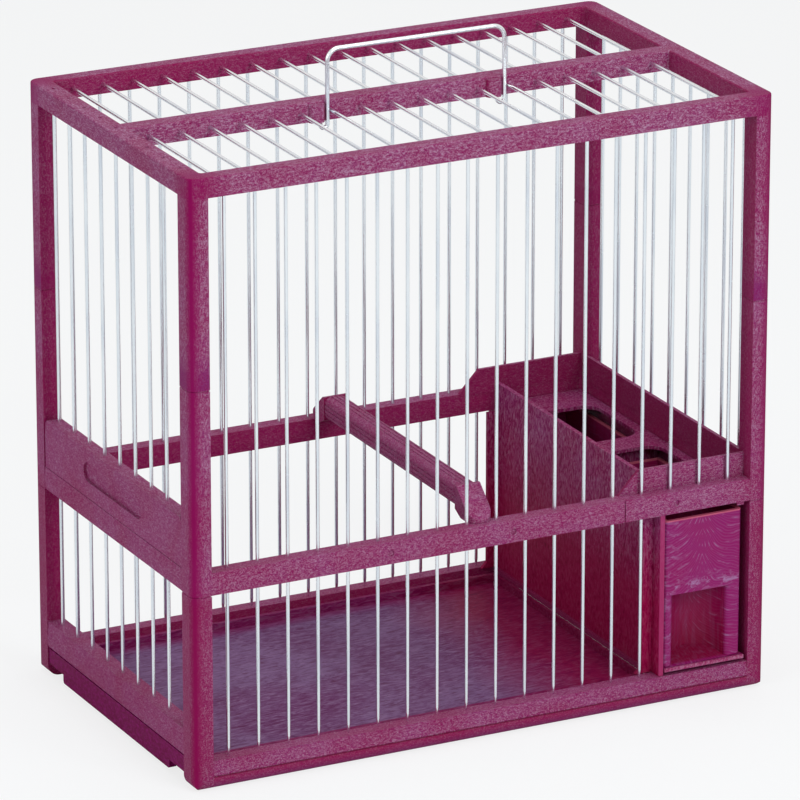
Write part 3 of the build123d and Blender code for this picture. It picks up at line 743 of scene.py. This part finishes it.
def studio_world(light):
    """White surroundings for the camera and for reflections, and a gentle grey light on the object."""
    world = bpy.data.worlds.new("studio")
    world.use_nodes = True
    tree = world.node_tree
    tree.nodes.clear()
    path = tree.nodes.new("ShaderNodeLightPath")
    seen = path.outputs["Is Camera Ray"]
    for ray in ("Is Transmission Ray", "Is Glossy Ray"):
        either = tree.nodes.new("ShaderNodeMath")
        either.operation = "MAXIMUM"
        tree.links.new(seen, either.inputs[0])
        tree.links.new(path.outputs[ray], either.inputs[1])
        seen = either.outputs[0]
    both = tree.nodes.new("ShaderNodeMixShader")
    tree.links.new(seen, both.inputs[0])
    for place, strength in ((1, light), (2, 1.0)):
        background = tree.nodes.new("ShaderNodeBackground")
        background.inputs["Strength"].default_value = strength
        tree.links.new(background.outputs[0], both.inputs[place])
    out = tree.nodes.new("ShaderNodeOutputWorld")
    tree.links.new(both.outputs[0], out.inputs["Surface"])
    bpy.context.scene.world = world


def floor_material(glow_share):
    """A white floor that keeps the soft shadow of the object."""
    shader = Shader("floor")
    shader.colour((0.9, 0.96, 1.0, 1.0))
    shader.rough(0.9)
    glow = shader.add("ShaderNodeEmission")
    glow.inputs["Color"].default_value = (1.0, 1.0, 1.0, 1.0)
    path = shader.add("ShaderNodeLightPath")
    blend = shader.add("ShaderNodeMixShader")
    shader.feed(blend.inputs[0], shader.product(path.outputs["Is Camera Ray"], glow_share))
    shader.feed(blend.inputs[1], shader.surface.outputs[0])
    shader.feed(blend.inputs[2], glow.outputs[0])
    shader.feed(shader.tree.nodes["Material Output"].inputs["Surface"], blend.outputs[0])
    return shader.material


def pale_floor(half_size, glow_share):
    """A wide plane at the height the object stands on."""
    mesh = bpy.data.meshes.new("floor")
    corners = [(-half_size, -half_size, 0.0), (half_size, -half_size, 0.0)]
    corners += [(half_size, half_size, 0.0), (-half_size, half_size, 0.0)]
    mesh.from_pydata(corners, [], [(0, 1, 2, 3)])
    mesh.materials.append(floor_material(glow_share))
    floor = bpy.data.objects.new("floor", mesh)
    bpy.context.collection.objects.link(floor)


def studio_camera(settings):
    """The camera at the photograph's angle."""
    data = bpy.data.cameras.new("camera")
    data.angle = settings.view_angle
    data.clip_end = 20.0
    camera = bpy.data.objects.new("camera", data)
    turn, rise = settings.azimuth, settings.elevation
    back = Vector((sin(turn) * cos(rise), -cos(turn) * cos(rise), sin(rise)))
    right = Vector((cos(turn), sin(turn), 0.0))
    up = back.cross(right)
    place = Vector(settings.aim) + back * settings.distance
    camera.matrix_world = Matrix.Translation(place) @ Matrix((right, up, back)).transposed().to_4x4()
    bpy.context.collection.objects.link(camera)
    bpy.context.scene.camera = camera


class CAGE_OT_stage(bpy.types.Operator):
    """Set up the floor, the soft lights and the camera"""

    bl_idname = "cage.stage"
    bl_label = "Set the stage"

    def execute(self, context):
        settings = context.scene.cage_stage
        context.scene.view_settings.view_transform = "Standard"
        studio_world(settings.world_light)
        pale_floor(6.0, settings.floor_glow)
        middle = (0.0, 0.0, 0.12)
        area_lamp("key", (0.35, -1.7, 1.25), middle, size=1.1, power=settings.key_power)
        area_lamp("side", (-1.7, -0.5, 0.9), middle, size=0.9, power=settings.side_power)
        area_lamp("top", (0.1, 0.2, 1.9), middle, size=1.2, power=settings.top_power)
        studio_camera(settings)
        return {"FINISHED"}


class CAGE_PT_panel(bpy.types.Panel):
    """Sidebar panel with every step and setting"""

    bl_label = "Show Cage"
    bl_idname = "CAGE_PT_panel"
    bl_space_type = "VIEW_3D"
    bl_region_type = "UI"
    bl_category = "Show Cage"

    def draw(self, context):
        for operator in OPERATORS:
            self.layout.operator(operator.bl_idname)
        for group in SETTINGS:
            settings = getattr(context.scene, group)
            for name in settings.__annotations__:
                self.layout.prop(settings, name)


SETTINGS = {
    "cage_plastic": PlasticSettings,
    "cage_drawers": DrawerSettings,
    "cage_tray": TraySettings,
    "cage_wire": WireSettings,
    "cage_stage": StageSettings,
}
OPERATORS = (
    CAGE_OT_frames,
    CAGE_OT_door,
    CAGE_OT_perch,
    CAGE_OT_feeder,
    CAGE_OT_tray,
    CAGE_OT_wires,
    CAGE_OT_stage,
)


def register():
    """Adds the settings, the operators and the panel."""
    for group, settings in SETTINGS.items():
        bpy.utils.register_class(settings)
        setattr(bpy.types.Scene, group, PointerProperty(type=settings))
    for kind in (*OPERATORS, CAGE_PT_panel):
        bpy.utils.register_class(kind)


def unregister():
    """Takes out what register adds."""
    for kind in (CAGE_PT_panel, *reversed(OPERATORS)):
        bpy.utils.unregister_class(kind)
    for group, settings in SETTINGS.items():
        delattr(bpy.types.Scene, group)
        bpy.utils.unregister_class(settings)


def main():
    """Runs every step in order."""
    register()
    for operator in OPERATORS:
        group, name = operator.bl_idname.split(".")
        getattr(getattr(bpy.ops, group), name)()


if __name__ == "__main__":
    main()
